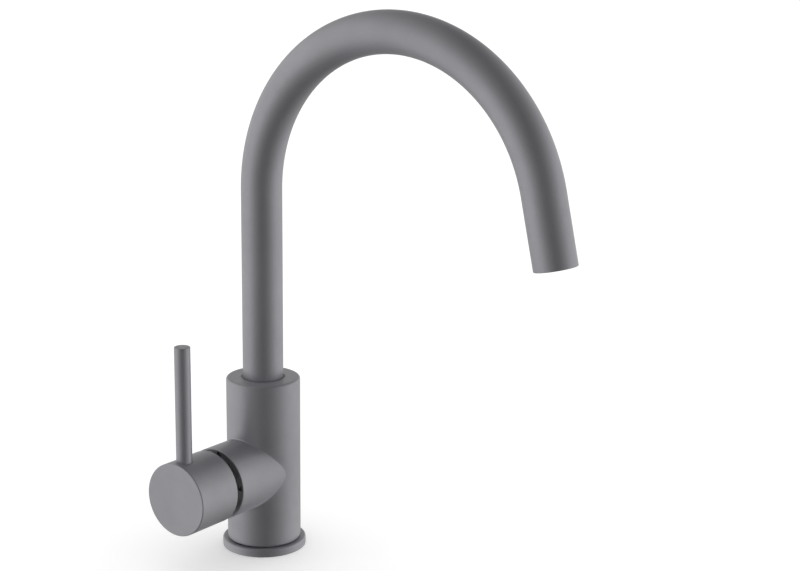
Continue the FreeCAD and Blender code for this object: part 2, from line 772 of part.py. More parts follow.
def make_lever_knob():
    body = boss_body("lever_knob")
    turned(body, "Knob", [
        ("0", KNOB_BACK),
        ("knob_radius", KNOB_BACK),
        ("knob_radius", KNOB_FACE),
        ("0", KNOB_FACE),
    ])
    soften(body, "Edges", "knob_edge", [
        ("knob_radius", ("0", "0", KNOB_BACK)),
        ("knob_radius", ("0", "0", KNOB_FACE)),
    ])
    drill(body, "Hollow", "knob_radius - knob_wall", f"{KNOB_STEP} - {KNOB_BACK}", z=KNOB_BACK)
    solid(body, "DomeHollow", "SubtractiveSphere", {"Radius": "dome_radius + dome_gap"}, z=PIVOT)
    half = "stem_half + running_gap"
    slot(body, "StemSocket", (f"-({half})", f"-({half})", PIVOT), (half, half, STEM_END))
    drill(body, "RodSeat", "rod_radius + running_gap", "knob_radius", ROD_SEAT, "0", ROD, TO_TOP)
    drill(body, "RodThread", "rod_stud + running_gap", "rod_stud_length + rod_sink",
          f"{ROD_SEAT} - rod_stud_length", "0", ROD, TO_TOP)
    drill(body, "GrubThread", "grub_radius + running_gap", "knob_radius", "-knob_radius", "0", GRUB,
          TO_TOP)


def make_lever_rod():
    body = new_body("lever_rod", x=f"-{ROD}", z="lever_height")
    turned(body, "Rod", [
        ("0", f"{ROD_SEAT} - rod_stud_length"),
        ("rod_stud", f"{ROD_SEAT} - rod_stud_length"),
        ("rod_stud", ROD_SEAT),
        ("rod_radius", ROD_SEAT),
        ("rod_radius", "rod_height"),
        ("0", "rod_height"),
    ])
    soften(body, "TopEdge", "rod_edge", [("rod_radius", ("0", "0", "rod_height"))])


def make_grub_screw():
    screw = new_body("grub_screw", x=f"-{GRUB}", z="lever_height")
    tip = "(-stem_half - slip_gap)"
    end = f"({tip} - grub_length)"
    turned(screw, "Screw", [("0", end), ("grub_radius", end), ("grub_radius", tip), ("0", tip)])
    solid(screw, "HexSocket", "SubtractivePrism",
          {"Circumradius": "grub_socket * 1.155", "Height": "grub_length / 2"}, z=end).Polygon = 6
    plug = new_body("grub_hole_plug", x=f"-{GRUB}", z="lever_height")
    low = "(-knob_radius + plug_height / 3)"
    turned(plug, "Plug", [
        ("0", low),
        ("plug_radius", low),
        ("plug_radius", f"{low} + plug_height"),
        ("0", f"{low} + plug_height"),
    ])


def make_all():
    make_body_casting()
    make_base_ring()
    make_base_seal()
    make_spout_tube()
    make_spout_nipple()
    make_spout_o_rings()
    make_spout_bearings()
    make_spout_keeper_screw()
    make_outlet_bush()
    make_aerator()
    make_cartridge_base()
    make_cartridge_seals()
    make_fixed_ceramic_disc()
    make_moving_ceramic_disc()
    make_disc_carrier()
    make_cartridge_rotor()
    make_pivot_pin()
    make_cartridge_housing()
    make_cartridge_nut()
    make_cartridge_cover()
    make_lever_stem()
    make_lever_knob()
    make_lever_rod()
    make_grub_screw()
    doc.recompute()


def check_all():
    for thing in doc.Objects:
        if "Invalid" in thing.State or "Error" in thing.State:
            raise RuntimeError(f"{thing.Label} failed: {thing.State}")
    for piece in PARTS:
        if piece.Shape.isNull() or not piece.Shape.isValid():
            raise RuntimeError(f"{piece.Label} has no valid shape")


def export_all():
    os.makedirs("parts", exist_ok=True)
    for piece in PARTS:
        piece.Shape.exportStep(f"parts/{piece.Label}.step")
        box = piece.Shape.BoundBox
        print(f"{piece.Label:22s} solids {len(piece.Shape.Solids)}  volume {piece.Shape.Volume:10.1f}"
              f"  z {box.ZMin:7.2f} to {box.ZMax:7.2f}")


make_all()
check_all()
export_all()
print("lever pivot out of the boss", round(value(PIVOT), 3), "knob face", round(value(KNOB_FACE), 3))
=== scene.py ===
# %% [markdown]
# # A grey kitchen mixer tap
#
# The tap is a turned column with a boss on its side, a bent tube for a spout, and a round
# knob with an upright pin. Almost every surface is a cylinder, so its looks come from two
# things: clean round meshes, and a satin coating that shows how bright each side of the
# studio is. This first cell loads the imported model, and everything after it is placed by it.

import json
import math

import bmesh
import bpy
from mathutils import Matrix, Vector


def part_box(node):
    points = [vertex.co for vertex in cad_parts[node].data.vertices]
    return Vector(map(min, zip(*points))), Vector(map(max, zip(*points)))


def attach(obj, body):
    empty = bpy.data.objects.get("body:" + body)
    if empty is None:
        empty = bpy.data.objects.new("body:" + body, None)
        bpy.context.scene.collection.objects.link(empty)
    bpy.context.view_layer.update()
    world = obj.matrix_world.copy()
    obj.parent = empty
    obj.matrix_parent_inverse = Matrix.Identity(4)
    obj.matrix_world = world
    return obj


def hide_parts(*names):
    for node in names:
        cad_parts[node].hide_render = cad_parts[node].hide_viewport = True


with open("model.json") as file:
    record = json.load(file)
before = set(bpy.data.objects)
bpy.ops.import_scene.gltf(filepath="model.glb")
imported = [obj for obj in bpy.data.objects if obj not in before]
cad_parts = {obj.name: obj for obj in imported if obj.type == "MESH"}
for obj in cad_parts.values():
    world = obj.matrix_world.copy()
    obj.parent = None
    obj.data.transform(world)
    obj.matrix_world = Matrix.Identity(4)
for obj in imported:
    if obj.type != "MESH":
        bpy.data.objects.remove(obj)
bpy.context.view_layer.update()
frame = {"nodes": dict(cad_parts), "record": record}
MM = 0.001

# %% [markdown]
# ## The camera
#
# The photograph was taken with a long lens from above the knob. Its place was worked out from
# the outlines of the column, the knob, the rod and the neck. A camera could be turned by three
# angles, but a point to aim at and a small roll say the same in a way that can be checked.

# %% Place the camera
CAMERA_PLACE = Vector((-0.7890, -0.6952, 0.4272))
CAMERA_AIM = Vector((0.01747, -0.08812, 0.17177))
CAMERA_ROLL = math.radians(0.61)
CAMERA_LENS = 82.8
SENSOR_WIDTH = 36.0

scene = bpy.context.scene
camera_data = bpy.data.cameras.new("product_camera")
camera_data.lens = CAMERA_LENS
camera_data.sensor_width = SENSOR_WIDTH
camera = bpy.data.objects.new("product_camera", camera_data)
scene.collection.objects.link(camera)
scene.camera = camera
level_turn = (CAMERA_AIM - CAMERA_PLACE).to_track_quat("-Z", "Y").to_matrix().to_4x4()
roll = Matrix.Rotation(CAMERA_ROLL, 4, "Z")
camera.matrix_world = Matrix.Translation(CAMERA_PLACE) @ level_turn @ roll
print("camera is", round((CAMERA_AIM - CAMERA_PLACE).length, 3), "m from the tap")

# %% [markdown]
# ## Node helpers
#
# Materials, the studio, the neck and the outlet's face are all made of nodes. Two short
# helpers keep those cells readable: one adds a node and sets its fields and sockets, the
# other does a sum.


# %% Helpers for nodes
def add_node(tree, kind, fields=None, **sockets):
    """New node. A socket, by its name or as _ and its number, is given a value or an output."""
    node = tree.nodes.new(kind)
    for name, setting in (fields or {}).items():
        setattr(node, name, setting)
    for name, source in sockets.items():
        label = int(name[1:]) if name[1:].isdigit() else name.replace("_", " ")
        socket = node.inputs[label]
        if isinstance(source, bpy.types.NodeSocket):
            tree.links.new(source, socket)
        else:
            socket.default_value = source
    return node


def calc(tree, operation, first, second=0.0):
    node = add_node(tree, "ShaderNodeMath", {"operation": operation}, _0=first, _1=second)
    return node.outputs[0]


# %% [markdown]
# ## The studio
#
# A satin metal shows its surroundings more than its own colour. The photograph has bright
# edges on every upright cylinder and a dark middle: tall soft boxes stood right and left, a
# little behind the tap, with a weaker one straight behind it, and nothing lit it from the
# camera's side. Area lamps could do that, but a sky whose level depends on the angle to the
# nearest box is smoother and has no noise, and it stays where it is when the tap is seen from
# elsewhere. Each box loses light towards the top and, less, towards the floor, and the left
# one loses least.

# %% Studio: three soft boxes
BOXES = {"right": (115, 0.5, 1.0), "left": (-104, 0.15, 1.0), "back": (180, 0.5, 0.7)}
LOSS_BELOW = 0.6
FARTHEST, NEAREST = -0.5, 1.0
BOX_LEVELS = ((0.0, 0.12), (0.26, 0.21), (0.52, 0.40), (0.72, 0.68), (0.87, 1.02))

scene.view_settings.view_transform = "Standard"
world = bpy.data.worlds.new("white_studio")
scene.world = world
world.use_nodes = True
sky = world.node_tree
sky.nodes.clear()
direction = add_node(sky, "ShaderNodeTexCoord").outputs["Generated"]
to_camera = (CAMERA_PLACE - CAMERA_AIM).xy.normalized().to_3d()
height = add_node(sky, "ShaderNodeSeparateXYZ", _0=direction).outputs["Z"]
steepness = calc(sky, "MAXIMUM", height, calc(sky, "MULTIPLY", height, -LOSS_BELOW))
nearest = -1.0
for angle, loss, strength in BOXES.values():
    towards = to_camera.copy()
    towards.rotate(Matrix.Rotation(math.radians(angle), 3, "Z"))
    dot = add_node(sky, "ShaderNodeVectorMath", {"operation": "DOT_PRODUCT"},
                   _0=direction, _1=towards)
    nearness = calc(sky, "MULTIPLY", dot.outputs["Value"], strength)
    nearness = calc(sky, "SUBTRACT", nearness, calc(sky, "MULTIPLY", steepness, loss))
    nearest = calc(sky, "MAXIMUM", nearness, nearest)
share = add_node(sky, "ShaderNodeMapRange", Value=nearest, From_Min=FARTHEST, From_Max=NEAREST)
levels = add_node(sky, "ShaderNodeValToRGB", Fac=share.outputs[0])
while len(levels.color_ramp.elements) < len(BOX_LEVELS):
    levels.color_ramp.elements.new(0.5)
for element, (place, brightness) in zip(levels.color_ramp.elements, BOX_LEVELS):
    element.position = place
    element.color = (brightness, brightness, brightness, 1.0)
print("soft boxes, as degrees from the camera, loss with height and strength:", BOXES)

# %% [markdown]
# Not every ray sees the boxes. Flat light at a plain level falls on what isn't glossy. Where
# metal shows other metal, as under the boss, the boxes count for half, and below the horizon
# there is a bright floor instead. The camera itself sees plain white behind the tap.

# %% Studio: which rays see the boxes
PLAIN_LEVEL = 0.95
FLOOR_LEVEL = 1.75
FIRST_MIRRORING = 1.5
SECOND_SHARE = 0.5

path = add_node(sky, "ShaderNodeLightPath").outputs
glossy = calc(sky, "MAXIMUM", path["Is Glossy Ray"], path["Is Transmission Ray"])
first = calc(sky, "LESS_THAN", path["Glossy Depth"], FIRST_MIRRORING)
above = calc(sky, "GREATER_THAN", height, 0.0)
mirrored = calc(sky, "MAXIMUM", first, calc(sky, "MULTIPLY", above, SECOND_SHARE))
boxes_share = calc(sky, "MULTIPLY", glossy, mirrored)
flat = add_node(sky, "ShaderNodeMix", {"data_type": "FLOAT"},
                _0=above, _2=FLOOR_LEVEL, _3=PLAIN_LEVEL)
level = add_node(sky, "ShaderNodeMix", {"data_type": "FLOAT"},
                 _0=boxes_share, _2=flat.outputs[0], _3=levels.outputs[0])
level = add_node(sky, "ShaderNodeMix", {"data_type": "FLOAT"},
                 _0=path["Is Camera Ray"], _2=level.outputs[0], _3=1.0)
light = add_node(sky, "ShaderNodeBackground",
                 Color=(1.0, 1.0, 1.0, 1.0), Strength=level.outputs[0])
add_node(sky, "ShaderNodeOutputWorld", Surface=light.outputs[0])
print("the studio's sky has", len(sky.nodes), "nodes")

# %% [markdown]
# ## The floor
#
# The tap stands on a plain pale floor that runs into the white background. A shadow catcher
# could stand for it in a picture without a background. Here the floor is a diffuse sheet, so
# the tap still throws a soft shadow on it. It glows a little where it is seen, which brings its
# open parts up to white and adds no light. The coating's reflections pass through it to the
# sky, which goes on below the horizon and stands for the floor there.

# %% Pale floor
FLOOR_REACH = 6.0
FLOOR_COLOUR = 0.93
FLOOR_GLOW = 0.20

floor_material = bpy.data.materials.new("pale_floor")
floor_material.use_nodes = True
tree = floor_material.node_tree
tree.nodes.clear()
path = add_node(tree, "ShaderNodeLightPath").outputs
sheet = add_node(tree, "ShaderNodeBsdfDiffuse",
                 Color=(FLOOR_COLOUR, FLOOR_COLOUR, FLOOR_COLOUR, 1.0))
seen = calc(tree, "MAXIMUM", path["Is Camera Ray"],
            calc(tree, "MAXIMUM", path["Is Glossy Ray"], path["Is Transmission Ray"]))
glow = add_node(tree, "ShaderNodeEmission", Strength=calc(tree, "MULTIPLY", seen, FLOOR_GLOW))
total = add_node(tree, "ShaderNodeAddShader", _0=sheet.outputs[0], _1=glow.outputs[0])
add_node(tree, "ShaderNodeOutputMaterial", Surface=total.outputs[0])

signs = ((-1, -1), (1, -1), (1, 1), (-1, 1))
corners = [(x * FLOOR_REACH, y * FLOOR_REACH, 0.0) for x, y in signs]
floor_mesh = bpy.data.meshes.new("floor")
floor_mesh.from_pydata(corners, [], [(0, 1, 2, 3)])
floor_mesh.materials.append(floor_material)
floor = bpy.data.objects.new("floor", floor_mesh)
scene.collection.objects.link(floor)
floor.visible_glossy = False
print("floor", FLOOR_REACH * 2, "m wide")

# %% [markdown]
# ## The grey coating
#
# The outside is coated in a satin metallic grey with a faint violet tint: fine flakes under a
# slightly rippled skin. The colour could be one flat grey, but real coatings drift a little
# over a hand's width, the flakes make a fine sparkle, the shine comes in faint clouds, and the
# spray leaves an orange peel of a millimetre or two. Four noises of different scales give
# those, all on the piece's own coordinates.


# %% Material helpers
NOISE_LOW, NOISE_HIGH = 0.25, 0.75


def new_material(name, metallic):
    material = bpy.data.materials.new(name)
    material.use_nodes = True
    tree = material.node_tree
    tree.nodes.clear()
    place = add_node(tree, "ShaderNodeTexCoord").outputs["Object"]
    shader = add_node(tree, "ShaderNodeBsdfPrincipled", Metallic=metallic)
    add_node(tree, "ShaderNodeOutputMaterial", Surface=shader.outputs[0])
    return material, tree, place, shader


def noise(tree, place, size, detail=2.0):
    """Noise whose patches are about size millimetres across, mostly between low and high."""
    node = add_node(tree, "ShaderNodeTexNoise",
                    Vector=place, Scale=1.0 / (size * MM), Detail=detail)
    return node.outputs[0]


def spread(tree, factor, low, high):
    """Noise spread over the range from low to high."""
    node = add_node(tree, "ShaderNodeMapRange", Value=factor, From_Min=NOISE_LOW,
                    From_Max=NOISE_HIGH, To_Min=low, To_Max=high)
    return node.outputs[0]


def set_colour(tree, shader, factor, dark, pale):
    mix = add_node(tree, "ShaderNodeMix", {"data_type": "RGBA"},
                   Factor=spread(tree, factor, 0.0, 1.0), _6=(*dark, 1.0), _7=(*pale, 1.0))
    tree.links.new(mix.outputs[2], shader.inputs["Base Color"])


def set_roughness(tree, shader, factor, roughness, swing):
    uneven = spread(tree, factor, roughness - swing, roughness + swing)
    tree.links.new(uneven, shader.inputs["Roughness"])


def relief(tree, shader, heights):
    """Chain of bumps on the shader, from (height, depth in millimetres) pairs."""
    normal = None
    for height, depth in heights:
        bump = add_node(tree, "ShaderNodeBump", Height=height, Distance=depth * MM, Strength=1.0)
        if normal is not None:
            tree.links.new(normal, bump.inputs["Normal"])
        normal = bump.outputs[0]
    tree.links.new(normal, shader.inputs["Normal"])


# %% [markdown]
# In the coating the drift and the flakes share one factor for the colour, the clouds set the
# roughness, and the peel and the flakes are bumps. The cap's coating differs in its colour only:
# its darker grey is partly painted shade for the gap between boss and knob.


# %% The coating
COATING_METALLIC = 0.9
COATING_ROUGHNESS = 0.42
DRIFT_SIZE, DRIFT_SHARE = 45.0, 0.55
FLAKE_SIZE, FLAKE_SHARE, FLAKE_DEPTH = 0.35, 0.45, 0.004
CLOUD_SIZE, CLOUD_SWING = 6.0, 0.03
PEEL_SIZE, PEEL_DEPTH = 1.6, 0.006


def coated_metal(name, dark, pale):
    material, tree, place, shader = new_material(name, COATING_METALLIC)
    drift = noise(tree, place, DRIFT_SIZE)
    flakes = noise(tree, place, FLAKE_SIZE, detail=1.0)
    colour = calc(tree, "ADD", calc(tree, "MULTIPLY", drift, DRIFT_SHARE),
                  calc(tree, "MULTIPLY", flakes, FLAKE_SHARE))
    set_colour(tree, shader, colour, dark, pale)
    clouds = noise(tree, place, CLOUD_SIZE, detail=3.0)
    set_roughness(tree, shader, clouds, COATING_ROUGHNESS, CLOUD_SWING)
    peel = noise(tree, place, PEEL_SIZE)
    relief(tree, shader, [(peel, PEEL_DEPTH), (flakes, FLAKE_DEPTH)])
    return material


grey_coating = coated_metal("grey_coating", (0.287, 0.283, 0.301), (0.363, 0.357, 0.380))
# The cap's coating is a darker grey, partly painted shade that deepens the gap between boss and
# knob.
painted_shade_cap_coating = coated_metal("painted_shade_cap_coating", (0.24, 0.24, 0.245), (0.30, 0.30, 0.305))
print("coatings:", grey_coating.name, painted_shade_cap_coating.name)

# %% [markdown]
# ## Metals and plastics inside
#
# The pieces inside are turned brass and steel, rubber rings, moulded plastic and lapped
# ceramic. Turned metal has fine rings where the tool ran, and a stretched noise gives them
# without any picture. Plastic has a faint grain from its mould, rubber a coarser one and
# ceramic a finer one, so one helper makes all three.


# %% Materials of the inner pieces
TURNING_SIZE, TURNING_SWING, TURNING_DEPTH = 0.4, 0.06, 0.01
TURNING_STRETCH = (0.15, 0.15, 1.0)
GRAINS_PER_DRIFT = 12.0
GRAIN_SWING, GRAIN_DEPTH = 0.05, 0.03


def turned_metal(name, dark, pale, roughness):
    material, tree, place, shader = new_material(name, metallic=1.0)
    stretched = add_node(tree, "ShaderNodeMapping", Vector=place, Scale=TURNING_STRETCH)
    rings = noise(tree, stretched.outputs[0], TURNING_SIZE)
    set_colour(tree, shader, rings, dark, pale)
    set_roughness(tree, shader, rings, roughness, TURNING_SWING)
    relief(tree, shader, [(rings, TURNING_DEPTH)])
    return material


def moulded(name, dark, pale, roughness, grain):
    """Plastic, rubber or ceramic whose skin has a grain of a size in millimetres."""
    material, tree, place, shader = new_material(name, metallic=0.0)
    drift = noise(tree, place, grain * GRAINS_PER_DRIFT)
    skin = noise(tree, place, grain)
    set_colour(tree, shader, drift, dark, pale)
    set_roughness(tree, shader, skin, roughness, GRAIN_SWING)
    relief(tree, shader, [(skin, grain * GRAIN_DEPTH)])
    return material


slot_materials = {
    "grey_coating": grey_coating,
    "dark_cap": painted_shade_cap_coating,
    "brass": turned_metal("turned_brass", (0.72, 0.50, 0.22), (0.86, 0.66, 0.34), 0.28),
    "steel": turned_metal("turned_steel", (0.50, 0.50, 0.51), (0.62, 0.62, 0.63), 0.30),
}
for slot, name, dark, pale, roughness, grain in (
    ("rubber", "black_rubber", (0.016, 0.016, 0.017), (0.028, 0.028, 0.030), 0.70, 0.6),
    ("white_plastic", "white_plastic", (0.74, 0.73, 0.70), (0.82, 0.81, 0.78), 0.45, 0.4),
    ("grey_plastic", "grey_plastic", (0.045, 0.045, 0.047), (0.065, 0.065, 0.068), 0.45, 0.4),
    # The guide ring's near-black plastic is partly painted shade: it also stands for the contact
    # shadow around the spout's foot.
    ("guide_plastic", "guide_plastic", (0.08, 0.08, 0.083), (0.11, 0.11, 0.114), 0.45, 0.4),
    ("alumina", "lapped_alumina", (0.80, 0.78, 0.74), (0.88, 0.86, 0.82), 0.20, 0.3),
):
    slot_materials[slot] = moulded(name, dark, pale, roughness, grain)
node_slots = {part["node"]: part["material_slot"] for part in frame["record"]["subparts"]}
for node_name, node in frame["nodes"].items():
    node.data.materials.clear()
    node.data.materials.append(slot_materials[node_slots[node_name]])
print(len(node_slots), "nodes have", len(slot_materials), "materials")

# %% [markdown]
# ## A skin built ring by ring
#
# Turned pieces are rings of points joined by bands of square faces. Blender could spin an
# outline for each of them, but the column and the knob also have round openings in their
# walls, and those need rings that other rings grow out of. So one small class collects the
# points, joins two rings, closes a ring at a pole and makes the finished piece.

# %% Skin class
COLUMNS = 144
SHARP_ANGLE = math.radians(38)
MERGE_DISTANCE = 0.001 * MM


class Skin:
    """Points and faces of one piece, in a frame whose Z is its axis."""

    def __init__(self):
        self.points = []
        self.faces = []

    def ring(self, points):
        start = len(self.points)
        self.points.extend(points)
        return list(range(start, len(self.points)))

    def band(self, first, second):
        for here, after in zip(range(len(first)), [*range(1, len(first)), 0]):
            self.faces.append((first[here], first[after], second[after], second[here]))

    def grow(self, ring, points):
        """Ring of new points, joined to the given one by a band."""
        following = self.ring(points)
        self.band(ring, following)
        return following

    def pole(self, ring, centre):
        middle = self.ring([centre])[0]
        for here, after in zip(ring, ring[1:] + ring[:1]):
            self.faces.append((here, after, middle))

    def piece(self, name, place=Matrix.Identity(4), material=grey_coating):
        mesh = bpy.data.meshes.new(name)
        mesh.from_pydata([place @ point for point in self.points], [], self.faces)
        work = bmesh.new()
        work.from_mesh(mesh)
        bmesh.ops.remove_doubles(work, verts=work.verts, dist=MERGE_DISTANCE)
        bmesh.ops.recalc_face_normals(work, faces=work.faces)
        work.to_mesh(mesh)
        work.free()
        mesh.polygons.foreach_set("use_smooth", [True] * len(mesh.polygons))
        mesh.set_sharp_from_angle(angle=SHARP_ANGLE)
        mesh.materials.append(material)
        item = bpy.data.objects.new(name, mesh)
        scene.collection.objects.link(item)
        shading = item.modifiers.new("even_shading", "WEIGHTED_NORMAL")
        shading.keep_sharp = True
        print(name, len(mesh.polygons), "faces")
        return item


# %% [markdown]
# ## Outlines with soft corners
#
# No edge on the tap is a knife edge. An outline is a list of corners, each with the radius
# of its rounding, and the arcs are worked out from it. A bevel modifier could do the same, but
# here the rounding is part of the outline, as it is on a drawing for the lathe.

# %% Outline helpers
ARC_STEPS = 6
ON_AXIS = 1e-9


def softened(corners, closed=False):
    """Outline of (radius, height) points from corners (radius, height, rounding), in metres."""
    count = len(corners)
    outline = []
    for number, (x, y, rounding) in enumerate(corners):
        corner = Vector((x, y))
        if rounding == 0 or (not closed and number in (0, count - 1)):
            outline.append(corner)
            continue
        back = (Vector(corners[number - 1][:2]) - corner).normalized()
        ahead = (Vector(corners[(number + 1) % count][:2]) - corner).normalized()
        half = back.angle(ahead) / 2
        centre = corner + (back + ahead).normalized() * rounding / math.sin(half)
        start = corner + back * rounding / math.tan(half) - centre
        end = corner + ahead * rounding / math.tan(half) - centre
        for step in range(ARC_STEPS + 1):
            outline.append(centre + start.slerp(end, step / ARC_STEPS) * rounding)
    return outline


def around(radius, height, columns=COLUMNS):
    """Ring of points about the Z axis."""
    angles = [math.tau * column / columns for column in range(columns)]
    return [Vector((radius * math.cos(angle), radius * math.sin(angle), height))
            for angle in angles]


def follow(skin, ring, outline):
    """Grow a skin from a ring through the points of an outline, and close it at the axis."""
    for radius, height in outline:
        if radius < ON_AXIS:
            skin.pole(ring, Vector((0.0, 0.0, height)))
            return None
        ring = skin.grow(ring, around(radius, height, len(ring)))
    return ring


def turned_piece(name, corners, closed, place=Matrix.Identity(4), material=grey_coating):
    """Lathe work: an outline turned about the Z axis of a place."""
    outline = softened(corners, closed)
    skin = Skin()
    if closed:
        first = skin.ring(around(*outline[0]))
        skin.band(follow(skin, first, outline[1:]), first)
    else:
        first = skin.ring(around(*outline[1]))
        skin.pole(first, Vector((0.0, 0.0, outline[0][1])))
        follow(skin, first, outline[2:])
    return skin.piece(name, place, material)


def dress(piece, body, slot, *nodes):
    """The piece rides on a body and stands for its nodes, which are hidden. The slot is not used.
    """
    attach(piece, body)
    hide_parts(*nodes)


# %% [markdown]
# ## The deck ring
#
# A thin ring hides the edge of the hole in the sink. It is simple lathe work, and its upper
# rim is the softest edge near the floor, where it catches a fine line of light.

# %% Deck ring
_, ring_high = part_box("base_ring")
RING_RADIUS = ring_high.x
RING_TOP = ring_high.z
RING_BORE = 18.5 * MM
SEAL_INNER = 20.1 * MM
SEAL_OUTER = 22.9 * MM
SEAL_DEPTH = 1.4 * MM
RING_EDGE = 1.2 * MM
FINE_EDGE = 0.15 * MM

deck_ring = turned_piece("deck_ring", [
    (RING_BORE, 0.0, FINE_EDGE),
    (SEAL_INNER, 0.0, 0.0),
    (SEAL_INNER, SEAL_DEPTH, 0.0),
    (SEAL_OUTER, SEAL_DEPTH, 0.0),
    (SEAL_OUTER, 0.0, 0.0),
    (RING_RADIUS, 0.0, FINE_EDGE),
    (RING_RADIUS, RING_TOP, RING_EDGE),
    (RING_BORE, RING_TOP, FINE_EDGE),
], closed=True)
dress(deck_ring, "tap_body", "grey_coating", "base_ring")

# %% [markdown]
# ## Walls with round openings
#
# The boss grows out of the column, and the knob has a hole for its pin. Where two cylinders
# cross, the edge is a curve in space. A boolean would find it, but it leaves slivers that
# show as smears on satin metal. Here the curve comes from its formula: a small ball that rolls
# in the corner touches both cylinders, and the rounding is the path between its touches. The
# wall is a grid of squares with a window, and the grid is drawn in from the window's frame
# to that curve.


# %% Wall grid with windows
def window_frame(rows, window):
    """Frame of a window as (row, column) pairs, in the order of a walk around it."""
    low, high = rows.index(window["low"]), rows.index(window["high"])
    middle = round(window["angle"] / math.tau * COLUMNS)
    left, right = middle - window["half_columns"], middle + window["half_columns"]
    walk = [(low, column) for column in range(left, right)]
    walk += [(row, right) for row in range(low, high)]
    walk += [(high, column) for column in range(right, left, -1)]
    walk += [(row, left) for row in range(high, low, -1)]
    return walk, (low, high, left, right)


def wall(skin, radius, rows, windows):
    """Cylinder wall with a hole at each window. Gives the end rings and the windows' frames."""
    grid = {}

    def spot(row, column):
        key = (row, column % COLUMNS)
        if key not in grid:
            angle = math.tau * key[1] / COLUMNS
            point = Vector((radius * math.cos(angle), radius * math.sin(angle), rows[row]))
            grid[key] = skin.ring([point])[0]
        return grid[key]

    frames = [window_frame(rows, window) for window in windows]
    for row in range(len(rows) - 1):
        for column in range(COLUMNS):
            inside = any(low <= row < high and (column - left) % COLUMNS < right - left
                         for _, (low, high, left, right) in frames)
            if not inside:
                skin.faces.append((spot(row, column), spot(row, column + 1),
                                   spot(row + 1, column + 1), spot(row + 1, column)))
    ends = [[spot(row, column) for column in range(COLUMNS)] for row in (0, len(rows) - 1)]
    return ends, [([spot(*pair) for pair in walk], walk) for walk, _ in frames]


# %% [markdown]
# For each point on a window's frame the ball has a place of its own. That place is given by a
# turn about the middle of the window, and it is worked out from the two radii.


# %% Follow the rolling ball
def out_of(window):
    return Vector((math.cos(window["angle"]), math.sin(window["angle"]), 0.0))


def at(window, out, aside, up):
    """Point at a distance out of the wall's axis, aside and up from a window's middle."""
    outwards = out_of(window)
    sideways = Vector((-outwards.y, outwards.x, 0.0))
    upwards = Vector((0.0, 0.0, 1.0))
    return outwards * out + sideways * aside + upwards * (window["height"] + up)


def rolling_ball(radius, rows, window, walk):
    """The ball's places on a walk, with its touches on the wall and the crossing cylinder."""
    cross, reach = window["radius"], window["radius"] + window["rounding"]
    ball_reach = radius + window["rounding"] * window["side"]
    half_angle = math.tau * window["half_columns"] / COLUMNS
    half_height = (window["high"] - window["low"]) / 2
    shrink = cross / reach
    places = []
    for row, column in walk:
        angle = math.tau * column / COLUMNS - window["angle"]
        up = rows[row] - window["height"]
        turn = math.atan2(angle / half_angle, up / half_height)
        aside, rise = reach * math.sin(turn), reach * math.cos(turn)
        out = math.sqrt(ball_reach ** 2 - aside ** 2)
        places.append({
            "turn": turn,
            "on frame": (angle, up),
            "on wall": (math.atan2(aside, out), rise),
            "centre": at(window, out, aside, rise),
            "on cross": at(window, out, aside * shrink, rise * shrink),
        })
    return places


# %% [markdown]
# A window is filled in four steps: the grid shrinks from the frame to the rolling ball's
# touch on the wall, turns through the rounding, runs along the crossing cylinder, and then
# follows the rings that shape its end, such as the mouth of the boss or the floor of a hole.

# %% Fill a window with a crossing cylinder
FILL_STEPS = 6


def cross_ring(window, places, radius, outs):
    """Points about a window's axis, each at its place's turn and its own distance out."""
    return [at(window, out, radius * math.sin(place["turn"]), radius * math.cos(place["turn"]))
            for place, out in zip(places, outs)]


def fill_window(skin, radius, rows, window, frame_ring, walk):
    places = rolling_ball(radius, rows, window, walk)
    ring = frame_ring
    for step in range(1, FILL_STEPS + 1):
        share = step / FILL_STEPS
        points = []
        for place in places:
            (angle, up), (touch_angle, touch_up) = place["on frame"], place["on wall"]
            here = angle + (touch_angle - angle) * share
            rise = up + (touch_up - up) * share
            points.append(at(window, radius * math.cos(here), radius * math.sin(here), rise))
        ring = skin.grow(ring, points)
    starts = [skin.points[index] - place["centre"] for index, place in zip(ring, places)]
    for step in range(1, ARC_STEPS + 1):
        points = []
        for place, start in zip(places, starts):
            arm = start.slerp(place["on cross"] - place["centre"], step / ARC_STEPS)
            points.append(place["centre"] + arm * window["rounding"])
        ring = skin.grow(ring, points)
    mouth_out = window["ends"][0][1]
    touch_outs = [place["on cross"].dot(out_of(window)) for place in places]
    for step in range(1, window["steps"]):
        share = step / window["steps"]
        outs = [out + (mouth_out - out) * share for out in touch_outs]
        ring = skin.grow(ring, cross_ring(window, places, window["radius"], outs))
    for end_radius, out in window["ends"]:
        if end_radius < ON_AXIS:
            skin.pole(ring, at(window, out, 0.0, 0.0))
            return
        ring = skin.grow(ring, cross_ring(window, places, end_radius, [out] * len(places)))


def windowed_wall(skin, radius, rows, windows):
    """Wall whose windows are filled. Gives its end rings."""
    ends, frames = wall(skin, radius, rows, windows)
    for window, (frame_ring, walk) in zip(windows, frames):
        fill_window(skin, radius, rows, window, frame_ring, walk)
    return ends


# %% [markdown]
# ## The column with its boss
#
# One casting carries everything. Its wall has two windows: the wide one for the boss, which
# is nearly as thick as the column, and a small one at the back for the keeper screw. The mouth
# of the boss is cut in steps for the cartridge and its nut, and the top is bored for the spout.

